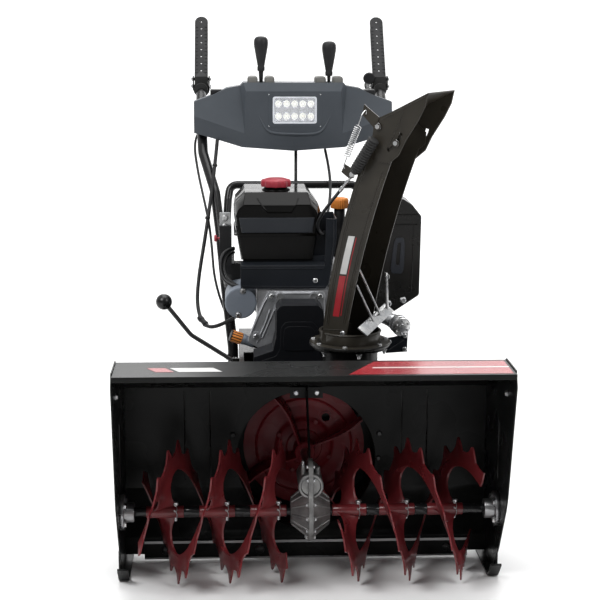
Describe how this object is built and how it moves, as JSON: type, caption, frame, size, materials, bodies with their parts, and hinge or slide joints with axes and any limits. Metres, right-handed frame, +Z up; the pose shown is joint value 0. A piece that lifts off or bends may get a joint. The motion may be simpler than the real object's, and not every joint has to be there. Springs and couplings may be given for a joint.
{
  "type": "two-stage snowblower",
  "caption": "Walk-behind two-stage snowblower with toothed ribbon auger, impeller, turning discharge chute, petrol engine and handlebar console.",
  "frame": {"origin": "on the ground under the centre of the machine's overall box", "axes": "+X to the right as seen facing the intake, +Y from the intake lip back to the grips, +Z up"},
  "size_m": [0.784, 1.42, 1.1347],
  "materials": {
    "black_paint": "gloss",
    "red_paint": "gloss",
    "cast_aluminium": "satin",
    "zinc": "satin",
    "steel": "satin",
    "brass": "satin",
    "black_plastic": "satin",
    "gloss_black_plastic": "gloss",
    "grey_plastic": "satin",
    "red_plastic": "satin",
    "orange_plastic": "satin",
    "black_rubber": "matte",
    "tyre": "matte",
    "grey_paint": "satin",
    "lens": "clear"
  },
  "bodies": {
    "chassis": {"auger_housing": "black_paint", "side_plate_left": "black_paint", "side_plate_right": "black_paint", "scraper_bar": "black_paint", "skid_shoes": "black_paint", "auger_bearings": "steel", "hex_bolts": "zinc", "impeller_drum": "black_paint", "gearbox_shell_left": "cast_aluminium", "gearbox_shell_right": "cast_aluminium", "gearbox_strut": "black_paint", "tractor_frame": "black_paint", "engine_block": "cast_aluminium", "crankcase_cover": "cast_aluminium", "engine_shroud": "black_paint", "fuel_tank": "gloss_black_plastic", "starter_motor": "grey_paint", "recoil_housing": "black_paint", "muffler_guard": "black_paint", "carburettor_box": "black_plastic", "oil_necks": "black_plastic", "belt_cover": "black_plastic", "drive_belt": "black_rubber", "handlebar_left": "black_paint", "handlebar_right": "black_paint", "handlebar_crossbar": "black_paint", "console": "grey_plastic", "headlamp": "grey_plastic", "headlamp_lens": "lens", "grips": "black_rubber", "control_cables": "black_plastic", "deflector_cable": "black_plastic", "chute_motor": "zinc"},
    "auger": {"auger_shaft": "black_paint", "auger_flight_left": "red_paint", "auger_flight_right": "red_paint", "auger_pins": "zinc", "worm_wheel": "brass"},
    "fan": {"impeller": "red_paint", "impeller_shaft": "steel"},
    "crank": {"engine_pulley": "steel"},
    "chute_body": {"chute": "black_paint", "chute_ring": "black_paint", "chute_guard": "zinc", "deflector_spring": "zinc"},
    "hood": {"deflector": "black_paint"},
    "wheel_left": {"tyre_left": "tyre", "rim_left": "grey_paint", "axle": "steel"},
    "wheel_right": {"tyre_right": "tyre", "rim_right": "grey_paint"},
    "clutch_left": {"clutch_lever_left": "black_plastic"},
    "clutch_right": {"clutch_lever_right": "black_plastic"},
    "speed_stick": {"speed_lever": "black_plastic"},
    "chute_stick": {"chute_lever": "black_plastic"},
    "lock_stick": {"lock_lever": "black_paint"},
    "fuel_cap_body": {"fuel_cap": "red_plastic"},
    "oil_cap_body": {"oil_filler_cap": "orange_plastic"},
    "choke": {"choke_knob": "red_plastic"},
    "recoil": {"recoil_handle": "black_plastic"}
  },
  "joints": [
    {"name": "auger_spin", "type": "hinge", "parent": "chassis", "child": "auger", "pos_m": [0, -0.535, 0.15], "axis": [1, 0, 0], "continuous": true},
    {"name": "impeller_spin", "type": "hinge", "parent": "chassis", "child": "fan", "pos_m": [0, -0.31, 0.212], "axis": [0, 1, 0], "continuous": true},
    {"name": "crank_spin", "type": "hinge", "parent": "chassis", "child": "crank", "pos_m": [-0.015, -0.19, 0.455], "axis": [0, 1, 0], "continuous": true},
    {"name": "chute_turn", "type": "hinge", "parent": "chassis", "child": "chute_body", "pos_m": [0.097, -0.31, 0.45], "axis": [0, 0, 1], "range_deg": [-153, 37], "deforming": ["deflector_cable"]},
    {"name": "deflector_tilt", "type": "hinge", "parent": "chute_body", "child": "hood", "pos_m": [0.17672, -0.35981, 0.922], "axis": [0.5299, 0.848, 0], "range_deg": [-22, 21], "deforming": ["deflector_spring"]},
    {"name": "wheel_left_spin", "type": "hinge", "parent": "chassis", "child": "wheel_left", "pos_m": [-0.3, -0.01, 0.165], "axis": [1, 0, 0], "continuous": true},
    {"name": "wheel_right_spin", "type": "hinge", "parent": "chassis", "child": "wheel_right", "pos_m": [0.3, -0.01, 0.165], "axis": [1, 0, 0], "continuous": true},
    {"name": "clutch_left_squeeze", "type": "hinge", "parent": "chassis", "child": "clutch_left", "pos_m": [-0.232, 0.489, 0.976], "axis": [1, 0, 0], "range_deg": [-44, 0], "stiffness_Nm_per_rad": 2, "springref_deg": 17.19},
    {"name": "clutch_right_squeeze", "type": "hinge", "parent": "chassis", "child": "clutch_right", "pos_m": [0.232, 0.489, 0.976], "axis": [1, 0, 0], "range_deg": [-44, 0], "stiffness_Nm_per_rad": 2, "springref_deg": 17.19},
    {"name": "speed_shift", "type": "hinge", "parent": "chassis", "child": "speed_stick", "pos_m": [-0.08, 0.333, 0.902], "axis": [1, 0, 0], "range_deg": [-18, 18]},
    {"name": "chute_joystick", "type": "hinge", "parent": "chassis", "child": "chute_stick", "pos_m": [0.09, 0.333, 0.902], "axis": [1, 0, 0], "range_deg": [-18, 18], "stiffness_Nm_per_rad": 1.5},
    {"name": "wheel_lock_lift", "type": "hinge", "parent": "chassis", "child": "lock_stick", "pos_m": [-0.15, -0.128, 0.366], "axis": [0, 1, 0], "range_deg": [0, 25]},
    {"name": "fuel_cap_turn", "type": "hinge", "parent": "chassis", "child": "fuel_cap_body", "pos_m": [-0.052, 0.035, 0.756], "axis": [0, 0, 1], "range_deg": [0, 90]},
    {"name": "oil_cap_turn", "type": "hinge", "parent": "chassis", "child": "oil_cap_body", "pos_m": [0.101, 0.082, 0.7], "axis": [0, 0, 1], "range_deg": [0, 360]},
    {"name": "choke_turn", "type": "hinge", "parent": "chassis", "child": "choke", "pos_m": [-0.19, 0.042, 0.625], "axis": [1, 0, 0], "range_deg": [0, 80]},
    {"name": "recoil_pull", "type": "slide", "parent": "chassis", "child": "recoil", "axis": [0, 1, 0], "range_m": [0, 0.45], "stiffness_N_per_m": 20, "springref_m": -0.05}
  ],
  "couplings": [
    {"joint": "impeller_spin", "follows": "auger_spin", "ratio": 10},
    {"joint": "crank_spin", "follows": "auger_spin", "ratio": 23.333}
  ]
}
